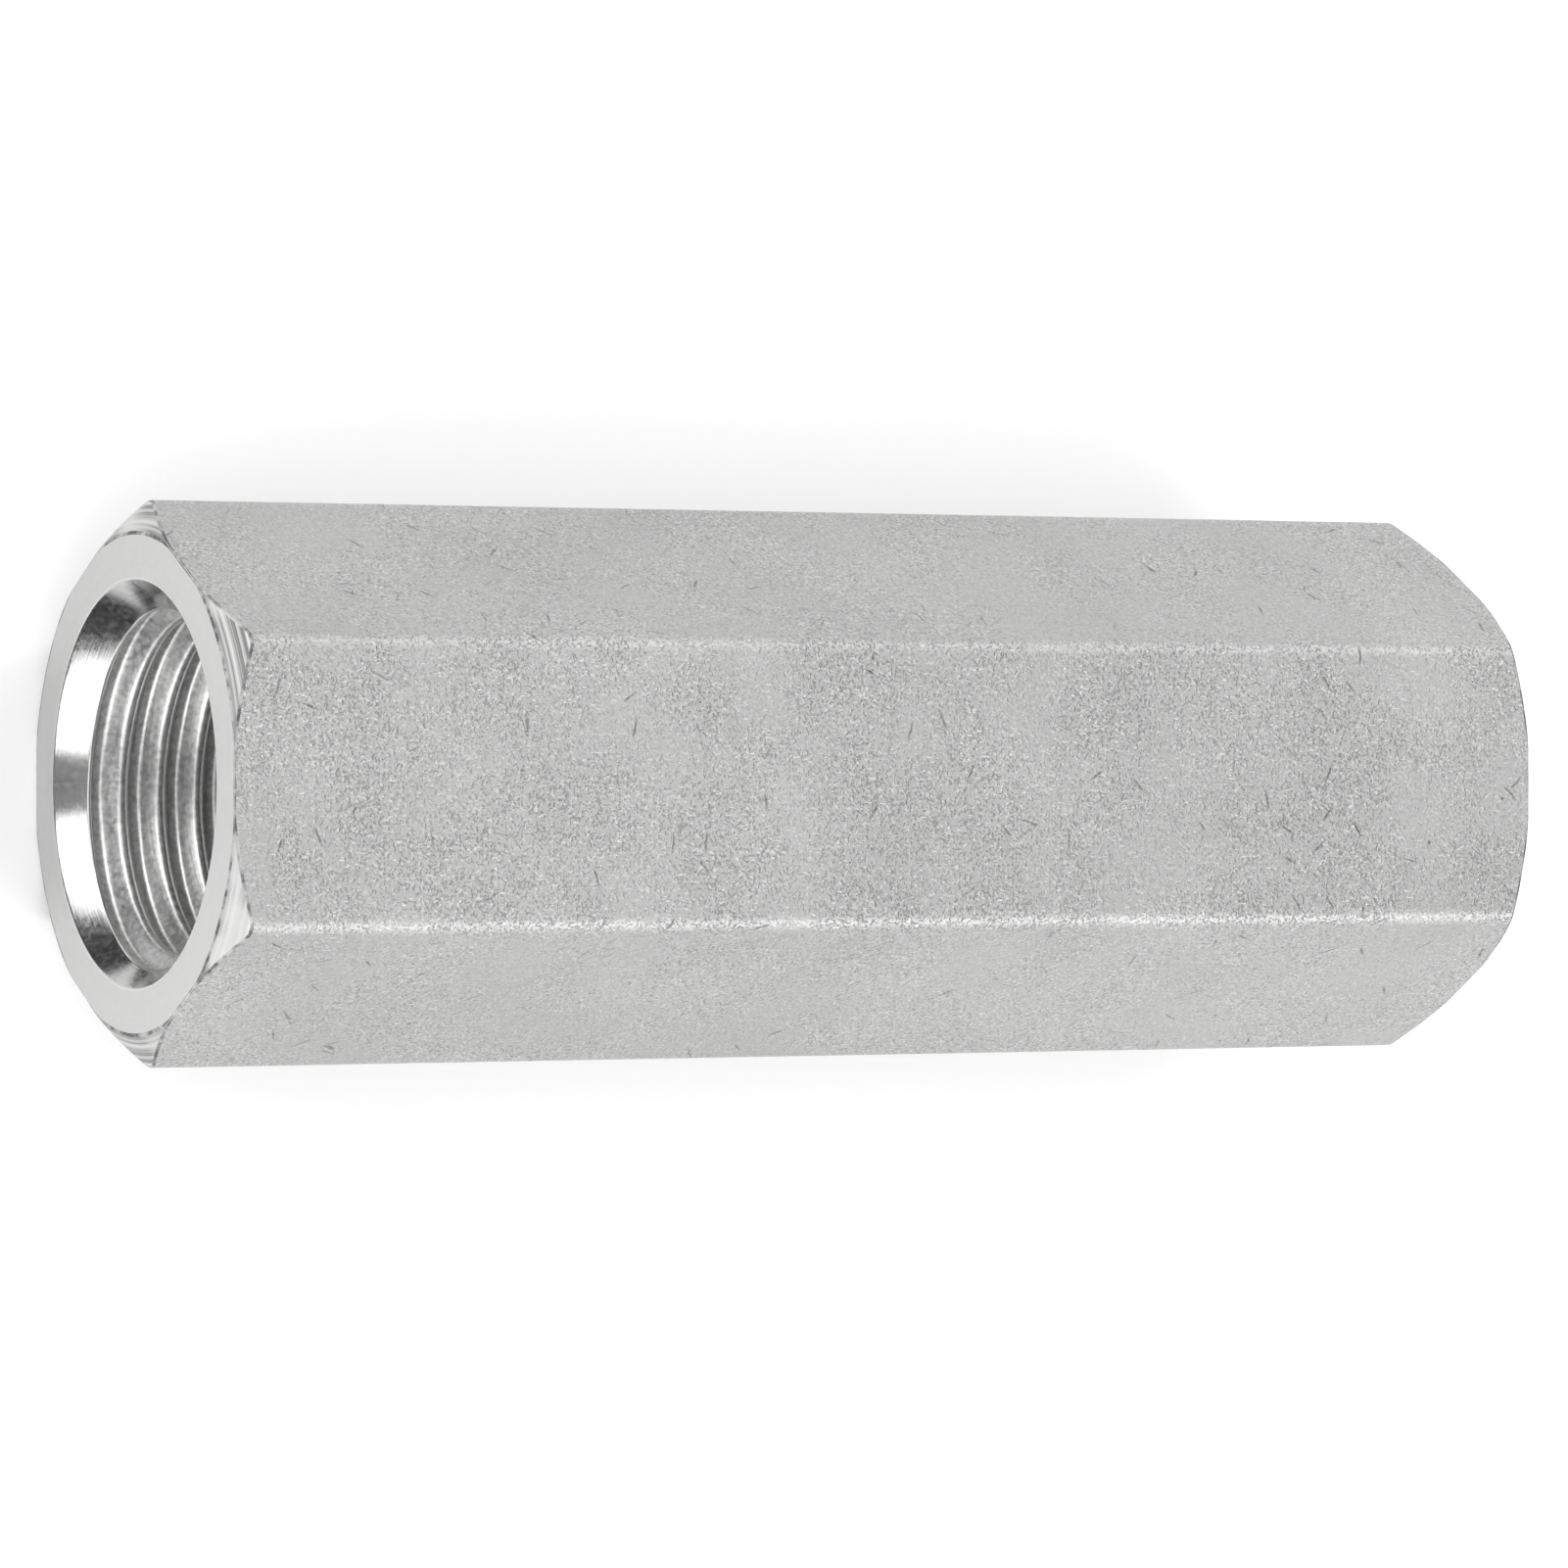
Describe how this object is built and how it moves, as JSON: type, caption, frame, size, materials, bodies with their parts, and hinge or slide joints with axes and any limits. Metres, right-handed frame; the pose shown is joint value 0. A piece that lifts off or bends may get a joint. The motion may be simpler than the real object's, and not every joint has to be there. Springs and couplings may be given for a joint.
{
  "type": "pipe coupling",
  "caption": "Long hexagonal stainless-steel pipe coupling with a through bore and a tapered female pipe thread in each end.",
  "frame": {"origin": "middle of the bar, on the axis of the bore", "axes": "+X along the bore, +Z square to one of the six wrench flats, +Y towards a corner of the hexagon"},
  "size_m": [0.0512, 0.0194, 0.017],
  "materials": {
    "stainless_steel": "satin pickled flats, turned end faces and chamfers, bright machined threads"
  },
  "bodies": {
    "root": {"coupling_body": "stainless_steel"}
  },
  "joints": []
}
